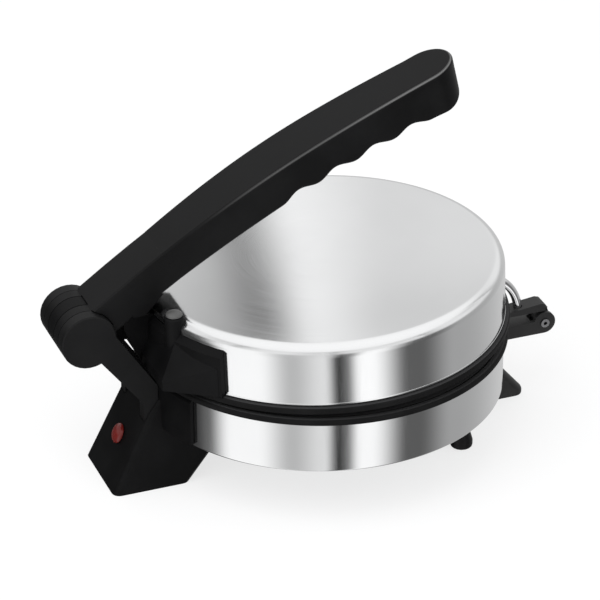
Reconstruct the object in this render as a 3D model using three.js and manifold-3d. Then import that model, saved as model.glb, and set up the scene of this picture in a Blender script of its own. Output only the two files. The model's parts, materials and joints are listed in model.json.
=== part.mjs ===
// Electric flat bread maker: two heated round plates, the upper one in a hinged lid with a long press
// handle. Millimetres, +Z up. The hinge is at +Y, the front catch at -Y, and only the cord inlet differs
// between the two sides of X = 0. Pieces are made with the round body's axis on X = Y = 0 and the floor on
// Z = 0. The root group then moves them along Y, so that the origin lies under the middle of the object.
import * as THREE from 'three';
import { ConvexGeometry } from 'three/addons/geometries/ConvexGeometry.js';
import { mergeVertices } from 'three/addons/utils/BufferGeometryUtils.js';
import Module from 'manifold-3d';

const wasm = await Module();
wasm.setup();

// Clearances and facets
const seatGap = 0.3;
const runningGap = 0.6;
const overrun = 4;
const bodySides = 60;
const panSides = 48;
const boltSides = 16;
const diskSides = 32;

// Round steel body. Below, a "reach" is counted outwards from its wall, an "inset" inwards from its wall, and
// a "level" upwards from its underside.
const bodyRadius = 112.5;
const steelWall = 0.8;
const footHeight = 38.5;
const baseWallHeight = 32.5;
const baseLipWidth = 7.5;
const baseEdgeRound = 1.2;

// Black rings between the two halves
const ringReach = 2.7;
const ringHeight = 4.2;
const ringEdge = 1.1;
const ringCrown = 2.4;
const ringGrooveInset = 1.8;
const ringGrooveHalf = 0.5;
const ringGrooveDepth = 1.2;
const ringBoreInset = 8.6;
const skirtWidth = 2.9;
const skirtDepth = 6.5;
const closedGap = 0.4;

// Lid shell
const lidWallHeight = 32;
const lidShoulderWidth = 8;
const lidShoulderRise = 7;
const lidCrown = 4;
const lidRimBead = 0.5;
const lidRimHeight = 1.2;
const ajarAngle = 1.8;

// Plates, elements and pans, alike in both halves
const plateThickness = 4.8;
const plateRimWidth = 4.4;
const plateRimDepth = 4.2;
const plateInset = 0.2;
const elementInset = 42.5;
const elementRadius = 3.2;
const elementArcAngle = 335;
const elementPinRadius = 1.8;
const elementPinLength = 6;
const panSheet = 0.8;
const panDepth = 9;
const panFloorInset = 22.5;
const panRimWidth = 2.6;
const studRadius = 4;
const nutRadius = 7.5;
const nutHeight = 5;
const studTail = 1.2;
const thermostatRadius = 10;
const thermostatHeight = 6;
const thermostatInset = 72.5;
const thermostatLegWidth = 7;

// Bottom cover, feet and front leg
const coverThickness = 1.5;
const coverSideGap = 1.8;
const ventOuterInset = 34.5;
const ventLength = 30;
const ventWidth = 5;
const ventCount = 12;
const footInset = 23.6;
const footTurnAngle = 33;
const footRadius = 7;
const footNeckRadius = 5.6;
const footFlangeRadius = 9.5;
const footFlangeHeight = 3;
const footSole = 5;
const footTaper = 5;
const legToeReach = 18.1;
const legToeRadius = 5.8;
const legToeHeight = 4;
const legHeelInset = 0.5;
const legTopFrontInset = 11;
const legTopBackInset = 24.5;
const legTopRadius = 6;

// Hinge barrel
const pivotReach = 42.5;
const pivotLevel = 67.6;
const knuckleRadius = 17.2;
const earInner = 14;
const earWidth = 8.4;
const earCap = 2.6;
const earEdge = 0.8;
const axleRadius = 5;
const armFrontLeanAngle = 56.8;
const armFrontOffset = 14.2;
const armRearLeanAngle = 52.5;
const armRearOffset = 4;
const armFootReach = 10.1;
const armFootLevel = 1.5;

// Rear housing and its flange on the wall
const housingRearReach = 32.6;
const housingFrontInset = 16.5;
const housingHalf = 28.3;
const housingCorner = 5;
const housingTopHalf = 24.3;
const housingTopCorner = 3;
const housingTopRearReach = 8;
const housingTopRearLevel = 11.5;
const housingTopFrontInset = 1.5;
const housingTopFrontLevel = 20.5;
const housingBevelZ = 17;
const housingBevelInset = 29.5;
const housingNeckInset = 48.5;
const housingNeckHalf = 26;
const housingWall = 2.6;
const housingRoof = 9;
const housingCoverThickness = 1.8;
const housingCoverRise = 1.6;
const baseFlangeHalfAngle = 26.5;
const baseFlangeThickness = 2.6;
const baseFlangeRise = 2;
const terminalLength = 26;
const terminalWidth = 12;
const terminalHeight = 10;
const terminalPitch = 8;
const terminalScrewRadius = 2;
const terminalScrewDepth = 4;
const terminalInset = 8.5;

// Indicator lamp and cord inlet
const lampZ = 26.8;
const lampLensRadius = 5.6;
const lampStemRadius = 4.4;
const lampDome = 2.6;
const lampStemLength = 6;
const lampBulbRadius = 2.4;
const lampBulbLength = 9;
const inletReach = 3.5;
const inletZ = 13;
const inletRadius = 6.2;
const inletBore = 4;
const inletFlangeRadius = 8.4;
const inletFlangeWidth = 2.2;
const inletTail = 4;

// Lid bracket
const flangeThickness = 4;
const flangeHalfAngle = 38.5;
const flangeSlope = 3.8;
const flangeTopLevel = 72;
const wedgeHalf = 51;
const wedgeRearReach = 8.3;
const wedgeEndAngle = 37.2;
const wedgeEndRise = 18.6;
const wedgeBottomGap = 0.5;
const wedgeSide = 6.6;
const wedgeCorner = 0.8;
const wedgeRidgeHalf = 42;
const wedgeRidgeInset = 4.05;
const wedgeRidgeRise = 25.5;
const webHalf = 12.7;
const webKneeReach = 13.8;
const webKneeLevel = 55;
const webTopReach = 18;
const webTopLevel = 65.5;
const webShoulderLevel = 69.9;
const webPadReach = 14.4;
const webPadLevel = 72.8;
const neckHalf = 5.5;
const neckRise = 12;
const bossInset = 0.45;
const bossTurnAngle = 18.65;
const bossRadius = 6.2;
const bossTopLevel = 81.9;
const bossEdge = 1;
const capRadius = 5;
const capHeight = 2.8;
const capEdge = 1.8;

// Press handle
const handleHalf = 16.9;
const handleDepth = 22;
const handleSlopeAngle = 35.2;
const handleBend = 850;
const handleEndStart = 180;
const handleEndBend = 1700;
const handleLength = 274.1;
const handleFillet = 2.4;
const tipShare = 0.996;
const handleForkHalf = 13.6;
const gripStart = 141.3;
const gripPitch = 26.3;
const gripCount = 4;
const gripDepth = 3.4;
const gripSwell = 4.4;
const tipRise = 6;
const tipUprightAngle = 9.5;
const heelFrontInset = 6.3;
const heelFrontLevel = 86.8;
const heelToeReach = 5.7;
const heelRearReach = 13.1;
const padThickness = 1.6;
const padHalf = 10;
const padInset = 0.8;

// Front catch
const catchReach = 36.3;
const catchPinLevel = 11.8;
const catchEarRadius = 7.3;
const catchBlockHalf = 6.5;
const catchBlockBottomLevel = 4.5;
const catchBlockTopLevel = 13.5;
const catchSlotHalf = 3.5;
const catchSlotDepth = 8.6;
const catchRootHalf = 15;
const catchRootDepth = 4.5;
const catchPinRadius = 2.3;
const catchPinBore = 1.2;
const catchPinHeadRadius = 2.9;
const catchPinHead = 0.9;
const leverHalf = 5.5;
const leverInnerReach = 8.5;
const leverHeight = 2.8;
const leverRise = 2.7;
const leverCrownSetback = 2.4;
const leverNose = 0.6;
const leverNoseEdge = 0.9;
const leverBarrelRadius = 6;
const rodRadius = 2.75;
const rodReach = 20.1;
const rodBend = 29.2;
const rodTipAngle = 52;
const rodSeatDepth = 2.2;

// Sizes that follow
const baseTop = footHeight + baseWallHeight;
const baseRingTop = baseTop + ringHeight;
const lidRingBottom = baseRingTop + closedGap;
const lidRingTop = lidRingBottom + ringHeight;
const lidShoulder = lidRingTop + lidWallHeight;
const ringRadius = bodyRadius + ringReach;
const ringBore = bodyRadius - ringBoreInset;
const plateRadius = ringBore - runningGap;
const elementRing = bodyRadius - elementInset;
const panFloorRadius = bodyRadius - panFloorInset;
const shellInner = bodyRadius - steelWall;
const pivotY = bodyRadius + pivotReach;
const pivotZ = footHeight + pivotLevel;
const housingRearY = bodyRadius + housingRearReach;
const housingFrontY = bodyRadius - housingFrontInset;
const housingTopRearY = bodyRadius + housingTopRearReach;
const housingTopRearZ = footHeight + housingTopRearLevel;
const housingTopFrontZ = footHeight + housingTopFrontLevel;
const armFootZ = footHeight + armFootLevel;
const wedgeRearY = bodyRadius + wedgeRearReach;
const flangeTop = footHeight + flangeTopLevel;
const webKneeZ = footHeight + webKneeLevel;
const webTopZ = footHeight + webTopLevel;
const webShoulderZ = footHeight + webShoulderLevel;
const webPadZ = footHeight + webPadLevel;
const bossTop = footHeight + bossTopLevel;
const heelFrontZ = footHeight + heelFrontLevel;
const catchPinY = bodyRadius + catchReach;
const catchPinZ = footHeight + catchPinLevel;
const catchBlockBottom = footHeight + catchBlockBottomLevel;
const catchBlockTop = footHeight + catchBlockTopLevel;
const leverBottom = catchPinZ + catchEarRadius + runningGap;
const panRimOut = plateThickness + plateRimDepth + seatGap;
const studOut = panRimOut + panDepth;

// Finishes
const finishes = {
  steel: { color: 0xd4d6d8, roughness: 0.2, metalness: 1 },
  chrome: { color: 0xe6e8ea, roughness: 0.1, metalness: 1 },
  black: { color: 0x1c1c1e, roughness: 0.45, metalness: 0 },
  aluminium: { color: 0x9a9c9e, roughness: 0.55, metalness: 0.9 },
  coated: { color: 0x2b2b2d, roughness: 0.5, metalness: 0.2 },
  zinc: { color: 0xa9adb0, roughness: 0.4, metalness: 0.9 },
  lampRed: { color: 0xa3231c, roughness: 0.25, metalness: 0 },
  glass: { color: 0xe8d8c8, roughness: 0.1, metalness: 0 },
  ivory: { color: 0xd9d2bf, roughness: 0.6, metalness: 0 },
  grey: { color: 0x8c8e90, roughness: 0.4, metalness: 0.4 },
};

const radians = THREE.MathUtils.degToRad;
const alongX = new THREE.Matrix4().makeBasis(
  new THREE.Vector3(0, 1, 0), new THREE.Vector3(0, 0, 1), new THREE.Vector3(1, 0, 0));

// Shared shape tools

function signedVolume(position, index) {
  const corner = [new THREE.Vector3(), new THREE.Vector3(), new THREE.Vector3()];
  let sum = 0;
  for (let i = 0; i < index.length; i += 3) {
    corner.forEach((vector, k) => vector.fromBufferAttribute(position, index[i + k]));
    sum += corner[0].dot(corner[1].cross(corner[2]));
  }
  return sum;
}

function solidOf(geometry) {
  const bare = geometry.clone();
  bare.deleteAttribute('normal');
  bare.deleteAttribute('uv');
  const merged = mergeVertices(bare);
  const source = Array.from(merged.index.array);
  const index = [];
  for (let i = 0; i < source.length; i += 3) {
    const [a, b, c] = source.slice(i, i + 3);
    if (a !== b && b !== c && c !== a) index.push(a, b, c);
  }
  if (signedVolume(merged.attributes.position, index) < 0) index.reverse();
  const mesh = new wasm.Mesh({
    numProp: 3,
    vertProperties: new Float32Array(merged.attributes.position.array),
    triVerts: new Uint32Array(index),
  });
  return new wasm.Manifold(mesh);
}

function geometryOf(solid) {
  const mesh = solid.getMesh();
  const geometry = new THREE.BufferGeometry();
  geometry.setAttribute('position', new THREE.BufferAttribute(new Float32Array(mesh.vertProperties), 3));
  geometry.setIndex(new THREE.BufferAttribute(new Uint32Array(mesh.triVerts), 1));
  const flat = geometry.toNonIndexed();
  flat.computeVertexNormals();
  return flat;
}

function join(...solids) {
  return solids.reduce((whole, piece) => whole.add(piece));
}

function cut(body, ...tools) {
  return tools.reduce((rest, tool) => rest.subtract(tool), body);
}

// A profile of [radius, height] points, closed on itself or ending on the axis, turned about Z.
function turned(points, sides) {
  const onAxis = points[0][0] === 0;
  const loop = onAxis ? points : [...points, points[0]];
  const geometry = new THREE.LatheGeometry(loop.map(([r, z]) => new THREE.Vector2(r, z)), sides);
  geometry.rotateX(Math.PI / 2);
  return geometry;
}

function drum(radius, bottom, top, sides = diskSides) {
  return turned([[0, bottom], [radius, bottom], [radius, top], [0, top]], sides);
}

function turnedSolid(points, sides) {
  return solidOf(turned(points, sides));
}

function drumSolid(radius, bottom, top, sides = diskSides) {
  return solidOf(drum(radius, bottom, top, sides));
}

// An outline of [y, z] points drawn on the middle plane and given a thickness along X.
function slab(points, fromX, toX) {
  const shape = new THREE.Shape(points.map(([y, z]) => new THREE.Vector2(y, z)));
  const geometry = new THREE.ExtrudeGeometry(shape, { depth: toX - fromX, bevelEnabled: false });
  geometry.applyMatrix4(alongX);
  geometry.translate(fromX, 0, 0);
  return solidOf(geometry);
}

function rollerAlongX(radius, fromX, toX, y, z, sides = diskSides) {
  const geometry = drum(radius, fromX, toX, sides);
  geometry.rotateY(Math.PI / 2);
  geometry.translate(0, y, z);
  return solidOf(geometry);
}

function block(fromX, toX, fromY, toY, fromZ, toZ) {
  const geometry = new THREE.BoxGeometry(toX - fromX, toY - fromY, toZ - fromZ);
  geometry.translate((fromX + toX) / 2, (fromY + toY) / 2, (fromZ + toZ) / 2);
  return solidOf(geometry);
}

// Points of a level circle, for hulls with rounded corners.
function disk(x, y, z, radius, sides = 16) {
  return Array.from({ length: sides }, (_, i) => {
    const turn = 2 * Math.PI * i / sides;
    return new THREE.Vector3(x + radius * Math.cos(turn), y + radius * Math.sin(turn), z);
  });
}

function hull(points) {
  return solidOf(new ConvexGeometry(points));
}

// Equal rings of points joined in order, with a flat face at each end.
function loft(rings) {
  const count = rings[0].length;
  const points = rings.flat();
  const index = [];
  for (let ring = 0; ring + 1 < rings.length; ring += 1) {
    for (let i = 0; i < count; i += 1) {
      const a = ring * count + i;
      const b = ring * count + (i + 1) % count;
      index.push(a, b, b + count, a, b + count, a + count);
    }
  }
  const last = (rings.length - 1) * count;
  for (let i = 1; i + 1 < count; i += 1) {
    index.push(0, i + 1, i, last, last + i, last + i + 1);
  }
  const geometry = new THREE.BufferGeometry().setFromPoints(points);
  geometry.setIndex(index);
  return solidOf(geometry);
}

class ArcInPlane extends THREE.Curve {
  constructor(centre, radius, fromAngle, toAngle, place) {
    super();
    Object.assign(this, { centre, radius, fromAngle, toAngle, place });
  }

  getPoint(share, target = new THREE.Vector3()) {
    const angle = this.fromAngle + (this.toAngle - this.fromAngle) * share;
    const u = this.centre[0] + this.radius * Math.cos(angle);
    const v = this.centre[1] + this.radius * Math.sin(angle);
    return target.set(...this.place(u, v));
  }
}

function rodAlong(curve, radius, steps, sides) {
  const section = new THREE.Shape(Array.from({ length: sides }, (_, i) => {
    const turn = 2 * Math.PI * i / sides;
    return new THREE.Vector2(radius * Math.cos(turn), radius * Math.sin(turn));
  }));
  return solidOf(new THREE.ExtrudeGeometry(section, { steps, extrudePath: curve, bevelEnabled: false }));
}

function mirrored(solid) {
  return solid.mirror([1, 0, 0]);
}

function node(name, finish, solid) {
  const mesh = new THREE.Mesh(geometryOf(solid), new THREE.MeshStandardMaterial(finishes[finish]));
  mesh.name = name;
  return mesh;
}

// Base

function baseShell() {
  const lipInner = bodyRadius - baseLipWidth;
  return turnedSolid([
    [lipInner, footHeight],
    [bodyRadius - baseEdgeRound, footHeight],
    [bodyRadius, footHeight + baseEdgeRound],
    [bodyRadius, baseTop],
    [shellInner, baseTop],
    [shellInner, footHeight + steelWall + baseEdgeRound],
    [shellInner - baseEdgeRound, footHeight + steelWall],
    [lipInner, footHeight + steelWall],
  ], bodySides);
}

// A black ring lying face up, with its seat on the steel wall at height zero and the given outer rim.
function ringSolid(rim) {
  const skirtOuter = shellInner - seatGap;
  const skirtInner = skirtOuter - skirtWidth;
  return turnedSolid([
    [ringBore, seatGap],
    [skirtInner, seatGap],
    [skirtInner, -skirtDepth],
    [skirtOuter, -skirtDepth],
    [skirtOuter, seatGap],
    [ringRadius - ringEdge, seatGap],
    [ringRadius, seatGap + ringEdge],
    ...rim,
    [ringBore, ringHeight],
  ], bodySides);
}

// The base ring's rim is rounded over, with a fine groove round its face.
function baseRing() {
  const groove = bodyRadius - ringGrooveInset;
  const crown = [0, 1, 2].map((step) => {
    const turn = Math.PI / 4 * step;
    const r = ringRadius - ringCrown + ringCrown * Math.cos(turn);
    return [r, ringHeight - ringCrown + ringCrown * Math.sin(turn)];
  });
  return ringSolid([
    ...crown,
    [groove + ringGrooveHalf, ringHeight],
    [groove, ringHeight - ringGrooveDepth],
    [groove - ringGrooveHalf, ringHeight],
  ]);
}

function lidRing() {
  return ringSolid([[ringRadius, ringHeight]]);
}

// Heights in the next shapes are counted from the face of the plate, and grow towards the other half.
function plateProfile() {
  return [
    [0, -plateThickness],
    [plateRadius - plateRimWidth, -plateThickness],
    [plateRadius - plateRimWidth, -plateThickness - plateRimDepth],
    [plateRadius, -plateThickness - plateRimDepth],
    [plateRadius, 0],
    [0, 0],
  ];
}

function panProfile() {
  const rim = -panRimOut;
  const floor = -studOut;
  const slope = plateRadius - panRimWidth;
  return [
    [studRadius + seatGap, floor],
    [panFloorRadius, floor],
    [slope + panSheet, rim - panSheet],
    [plateRadius, rim - panSheet],
    [plateRadius, rim],
    [slope, rim],
    [panFloorRadius - panSheet / 2, floor + panSheet],
    [studRadius + seatGap, floor + panSheet],
  ];
}

function element() {
  const level = -plateThickness - seatGap - elementRadius;
  const half = radians(elementArcAngle) / 2;
  const place = (u, v) => [u, v, level];
  const ring = rodAlong(new ArcInPlane([0, 0], elementRing, -half, half, place), elementRadius, 44, 8);
  const pins = [-1, 1].map((side) => {
    const turn = side * (half - elementPinRadius / elementRing);
    const pin = drumSolid(elementPinRadius, level - elementRadius - elementPinLength + panSheet, level, 12);
    return pin.translate([elementRing * Math.cos(turn), elementRing * Math.sin(turn), 0]);
  });
  return join(ring, ...pins);
}

function stud(tail) {
  return drumSolid(studRadius, -tail, -plateThickness - seatGap, boltSides);
}

function nut(top) {
  const hexagon = drumSolid(nutRadius, top - nutHeight, top, 6);
  return cut(hexagon, drumSolid(studRadius + seatGap, top - nutHeight - overrun, top + overrun, boltSides));
}

function thermostat() {
  const top = -plateThickness - seatGap;
  const can = drumSolid(thermostatRadius, top - thermostatHeight, top, boltSides);
  const floor = -studOut + panSheet + seatGap;
  const half = thermostatLegWidth / 2;
  const leg = block(-thermostatRadius, thermostatRadius, -half, half, floor, top - thermostatHeight / 2);
  return join(can, leg).translate([bodyRadius - thermostatInset, 0, 0]);
}

function bottomCover() {
  const bottom = footHeight + steelWall + seatGap;
  const plate = turnedSolid([
    [studRadius + seatGap, bottom],
    [shellInner - coverSideGap, bottom],
    [shellInner - coverSideGap, bottom + coverThickness],
    [studRadius + seatGap, bottom + coverThickness],
  ], panSides);
  const half = ventWidth / 2;
  const outer = bodyRadius - ventOuterInset;
  const vents = Array.from({ length: ventCount }, (_, i) => {
    const slot = block(outer - ventLength, outer, -half, half, bottom - overrun, bottom + overrun);
    return slot.rotate([0, 0, 360 * (i + 1 / 2) / ventCount]);
  });
  return cut(plate, ...vents);
}

function foot(side) {
  const top = footHeight + steelWall;
  const profile = [
    [0, 0],
    [footRadius - ringEdge, 0],
    [footRadius, ringEdge],
    [footRadius, footSole],
    [footNeckRadius, footSole + footTaper],
    [footNeckRadius, top - footFlangeHeight],
    [footFlangeRadius, top - footFlangeHeight],
    [footFlangeRadius, top],
    [0, top],
  ];
  const reach = bodyRadius - footInset;
  const turn = radians(footTurnAngle);
  const place = [side * reach * Math.sin(turn), -reach * Math.cos(turn), 0];
  return turnedSolid(profile, boltSides).translate(place);
}

function frontLeg() {
  const top = footHeight - seatGap;
  const toe = -bodyRadius - legToeReach;
  const points = [
    ...disk(0, toe, 0, legToeRadius),
    ...disk(0, toe, legToeHeight, legToeRadius),
    ...disk(0, legHeelInset - bodyRadius, 0, legToeRadius),
    ...disk(0, legTopFrontInset - bodyRadius, top, legTopRadius),
    ...disk(0, legTopBackInset - bodyRadius, top, legTopRadius),
  ];
  return hull(points);
}

// A leaning straight edge beside the pivot: its point at a given height, or at the pivot's own level.
function armEdge(lean, offset, z) {
  const angle = radians(lean);
  const startY = pivotY + offset * Math.sin(angle);
  const startZ = pivotZ - offset * Math.cos(angle);
  if (z === undefined) return [startY, startZ];
  return [startY - (startZ - z) / Math.tan(angle), z];
}

function armOutline(grow) {
  const footY = bodyRadius + armFootReach + grow;
  const footZ = armFootZ - grow;
  const rear = armEdge(armRearLeanAngle, armRearOffset + grow);
  const kneeZ = rear[1] - (rear[0] - footY) * Math.tan(radians(armRearLeanAngle));
  return [
    armEdge(armFrontLeanAngle, -armFrontOffset - grow),
    armEdge(armFrontLeanAngle, -armFrontOffset - grow, footZ),
    [footY, footZ],
    [footY, kneeZ],
    rear,
  ];
}

function hingeArm() {
  const outer = earInner + earWidth;
  const disc = turnedSolid([
    [0, earInner],
    [knuckleRadius, earInner],
    [knuckleRadius, outer - earEdge],
    [knuckleRadius - earEdge, outer],
    [0, outer],
  ], diskSides).rotate([0, 90, 0]).translate([0, pivotY, pivotZ]);
  const arm = slab(armOutline(0), earInner, outer);
  const bore = rollerAlongX(axleRadius + seatGap, earInner - overrun, outer - earCap, pivotY, pivotZ,
    boltSides);
  const bodyRoom = drumSolid(ringRadius + runningGap, 0, pivotZ, bodySides);
  return cut(join(disc, arm), bore, bodyRoom);
}

function hingeAxle() {
  const reach = earInner + earWidth - earCap - seatGap;
  return rollerAlongX(axleRadius, -reach, reach, pivotY, pivotZ, boltSides);
}

// The housing's outer form, or with a wall given, the room inside it.
function housingForm(wall) {
  const corner = housingCorner - wall / 2;
  const half = housingHalf - wall - corner;
  const rearY = housingRearY - wall - corner;
  const frontY = housingFrontY + wall + corner;
  const topCorner = housingTopCorner - wall / 2;
  const topHalf = housingTopHalf - wall - topCorner;
  const roof = wall > 0 ? housingRoof : 0;
  const neckTop = footHeight - seatGap - wall;
  const throatHalf = housingNeckHalf - wall - corner;
  const points = [-1, 1].flatMap((side) => [
    ...disk(side * half, rearY, 0, corner),
    ...disk(side * half, frontY, 0, corner),
    ...disk(side * half, bodyRadius - housingBevelInset + wall + corner, housingBevelZ, corner),
    ...disk(side * throatHalf, bodyRadius - housingNeckInset + wall + corner, neckTop, corner),
    ...disk(side * topHalf, housingTopRearY - wall - topCorner, housingTopRearZ - roof, topCorner),
    ...disk(side * topHalf, bodyRadius - housingTopFrontInset - wall, housingTopFrontZ - roof, topCorner),
  ]);
  const roundBody = drumSolid(bodyRadius + seatGap + wall, neckTop, pivotZ, bodySides);
  return cut(hull(points), roundBody);
}

function rearSlope() {
  return Math.atan2(housingRearY - housingTopRearY, housingTopRearZ);
}

function sideSlope() {
  return Math.atan2(housingHalf - housingTopHalf, housingTopRearZ);
}

// Puts a piece that is turned about Z, with its seat at height zero, on the sloping rear face.
function onRearFace(solid) {
  const y = housingRearY - lampZ * Math.tan(rearSlope());
  const tilt = 90 - THREE.MathUtils.radToDeg(rearSlope());
  return solid.rotate([-tilt, 0, 0]).translate([0, y, lampZ]);
}

// The same for the far side wall.
function onSideWall(solid) {
  const x = housingHalf - inletZ * Math.tan(sideSlope());
  const tilt = 90 - THREE.MathUtils.radToDeg(sideSlope());
  return solid.rotate([0, tilt, 0]).translate([x, bodyRadius + inletReach, inletZ]);
}

function rearHousing() {
  const wallHole = (radius) => drumSolid(radius + seatGap, -housingWall - overrun, overrun, boltSides);
  const lampHole = onRearFace(wallHole(lampStemRadius));
  const inletHole = onSideWall(wallHole(inletRadius));
  const inletSeat = onSideWall(drumSolid(inletFlangeRadius + seatGap, 0, overrun, boltSides));
  const outer = earInner + earWidth;
  const beyondFlange = drumSolid(bodyRadius + seatGap + baseFlangeThickness, 0, pivotZ, bodySides);
  const slot = cut(slab(armOutline(seatGap), earInner - seatGap, outer + seatGap), beyondFlange);
  const flange = sector(baseFlangeHalfAngle, bodyRadius + seatGap, footHeight + baseFlangeRise,
    baseTop - seatGap, baseFlangeThickness, ringEdge);
  return cut(join(housingForm(0), flange), housingForm(housingWall), slot, mirrored(slot), lampHole,
    inletHole, inletSeat);
}

function housingCover() {
  const top = housingCoverRise + housingCoverThickness;
  const half = housingHalf;
  const slice = block(-half, half, housingFrontY, housingRearY, housingCoverRise, top);
  return housingForm(housingWall + seatGap).intersect(slice);
}

function terminalBlock() {
  const bottom = housingCoverRise + housingCoverThickness + seatGap;
  const top = bottom + terminalHeight;
  const front = bodyRadius - terminalInset;
  const half = terminalLength / 2;
  const body = block(-half, half, front, front + terminalWidth, bottom, top);
  const wells = [-1, 0, 1].map((place) => {
    const well = drumSolid(terminalScrewRadius, top - terminalScrewDepth, top + overrun, 12);
    return well.translate([place * terminalPitch, front + terminalWidth / 2, 0]);
  });
  return cut(body, ...wells);
}

function lampLens() {
  const rise = Array.from({ length: 5 }, (_, i) => {
    const turn = Math.PI / 2 * i / 4;
    const height = seatGap + lampDome * Math.sin(turn);
    return [i === 4 ? 0 : lampLensRadius * Math.cos(turn), height];
  });
  return onRearFace(turnedSolid([
    [0, -lampStemLength],
    [lampStemRadius, -lampStemLength],
    [lampStemRadius, seatGap],
    ...rise,
  ], boltSides));
}

function lampBulb() {
  const top = -lampStemLength - seatGap;
  return onRearFace(drumSolid(lampBulbRadius, top - lampBulbLength, top, 12));
}

function cordInlet() {
  return onSideWall(turnedSolid([
    [inletBore, -housingWall - inletTail],
    [inletRadius, -housingWall - inletTail],
    [inletRadius, seatGap],
    [inletFlangeRadius, seatGap],
    [inletFlangeRadius, seatGap + inletFlangeWidth],
    [inletBore, seatGap + inletFlangeWidth],
  ], boltSides));
}

// Front catch, pinned in a block on the base

function catchBlock() {
  const wallY = -bodyRadius + overrun;
  const bar = block(-catchBlockHalf, catchBlockHalf, -catchPinY, wallY, catchBlockBottom, catchBlockTop);
  const ear = rollerAlongX(catchEarRadius, -catchBlockHalf, catchBlockHalf, -catchPinY, catchPinZ);
  const rootY = -bodyRadius - catchRootDepth;
  const root = hull([-1, 1].flatMap((side) => [
    ...disk(side * catchRootHalf, rootY + catchRootDepth, catchBlockBottom, catchRootDepth, 12),
    ...disk(side * catchRootHalf, rootY + catchRootDepth, catchBlockTop, catchRootDepth, 12),
  ]));
  const slotFront = -catchPinY - catchEarRadius - overrun;
  const slot = block(-catchSlotHalf, catchSlotHalf, slotFront, -catchPinY + catchSlotDepth,
    catchBlockBottom - catchEarRadius, catchPinZ + catchEarRadius + overrun);
  const bore = rollerAlongX(catchPinRadius + seatGap, -catchBlockHalf - overrun, catchBlockHalf + overrun,
    -catchPinY, catchPinZ, boltSides);
  const roundBody = drumSolid(bodyRadius + seatGap, 0, pivotZ, bodySides);
  return cut(join(bar, ear, root), slot, bore, roundBody);
}

function catchPin() {
  const face = catchBlockHalf + seatGap;
  const end = face + catchPinHead;
  return turnedSolid([
    [catchPinBore, -end],
    [catchPinHeadRadius, -end],
    [catchPinHeadRadius, -face],
    [catchPinRadius, -face],
    [catchPinRadius, face],
    [catchPinHeadRadius, face],
    [catchPinHeadRadius, end],
    [catchPinBore, end],
  ], boltSides).rotate([0, 90, 0]).translate([0, -catchPinY, catchPinZ]);
}

function leverBody() {
  const top = leverBottom + leverHeight;
  const arm = slab([
    [-bodyRadius - leverInnerReach, leverBottom],
    [-bodyRadius - leverInnerReach, top],
    [leverCrownSetback - catchPinY, top + leverRise],
    [-catchPinY - leverNose, top + leverRise - leverNoseEdge],
    [-catchPinY - leverNose, leverBottom],
  ], -leverHalf, leverHalf);
  const half = catchSlotHalf - seatGap;
  const barrel = rollerAlongX(leverBarrelRadius, -half, half, -catchPinY, catchPinZ, boltSides);
  const neck = block(-half, half, -catchPinY - leverBarrelRadius / 2, -catchPinY + leverBarrelRadius / 2,
    catchPinZ, leverBottom + leverHeight / 2);
  const bore = rollerAlongX(catchPinRadius + seatGap, -half - overrun, half + overrun, -catchPinY, catchPinZ,
    boltSides);
  const rodHole = drumSolid(rodRadius + seatGap, top - rodSeatDepth, top + overrun, 16)
    .translate([0, -bodyRadius - rodReach, 0]);
  return cut(join(arm, barrel, neck), bore, rodHole);
}

function catchRod() {
  const foot = leverBottom + leverHeight - rodSeatDepth + seatGap;
  const end = Math.PI - radians(rodTipAngle);
  const centre = [rodBend - bodyRadius - rodReach, foot];
  const arc = new ArcInPlane(centre, rodBend, Math.PI, end, (u, v) => [0, u, v]);
  const tip = arc.getPoint(1);
  const knob = solidOf(new THREE.SphereGeometry(rodRadius, 12, 8)).translate([tip.x, tip.y, tip.z]);
  return join(rodAlong(arc, rodRadius, 12, 12), knob);
}

// Lid, with the two halves shut

// The round edge of the lid's top, seen in section, from the side wall up. A wall moves it inwards.
function shoulderLine(wall) {
  const arcSteps = 5;
  return Array.from({ length: arcSteps + 1 }, (_, i) => {
    const turn = Math.PI / 2 * i / arcSteps;
    const across = lidShoulderWidth - wall;
    const rise = lidShoulderRise - wall;
    return [bodyRadius - lidShoulderWidth + across * Math.cos(turn), lidShoulder + rise * Math.sin(turn)];
  });
}

function lidShell() {
  const top = lidShoulder + lidShoulderRise;
  return turnedSolid([
    [0, top + lidCrown],
    ...shoulderLine(0).reverse(),
    [bodyRadius, lidRingTop + seatGap + lidRimHeight + lidRimBead],
    [bodyRadius + lidRimBead, lidRingTop + seatGap + lidRimHeight],
    [bodyRadius + lidRimBead, lidRingTop + seatGap],
    [shellInner, lidRingTop + seatGap],
    ...shoulderLine(steelWall),
    [0, top + lidCrown - steelWall],
  ], bodySides);
}

// A curved flange on the round wall, centred on the rear, with its upper outer edge sloped off.
function sector(halfAngle, inner, bottom, top, thickness, slope) {
  const half = radians(halfAngle);
  const outer = inner + thickness;
  const steps = 16;
  const rings = Array.from({ length: steps + 1 }, (_, i) => {
    const turn = Math.PI / 2 - half + 2 * half * i / steps;
    const at = (radius, z) => new THREE.Vector3(radius * Math.cos(turn), radius * Math.sin(turn), z);
    return [
      at(inner, bottom),
      at(outer, bottom),
      at(outer, top - slope),
      at(outer - slope, top),
      at(inner, top),
    ];
  });
  return loft(rings);
}

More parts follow.
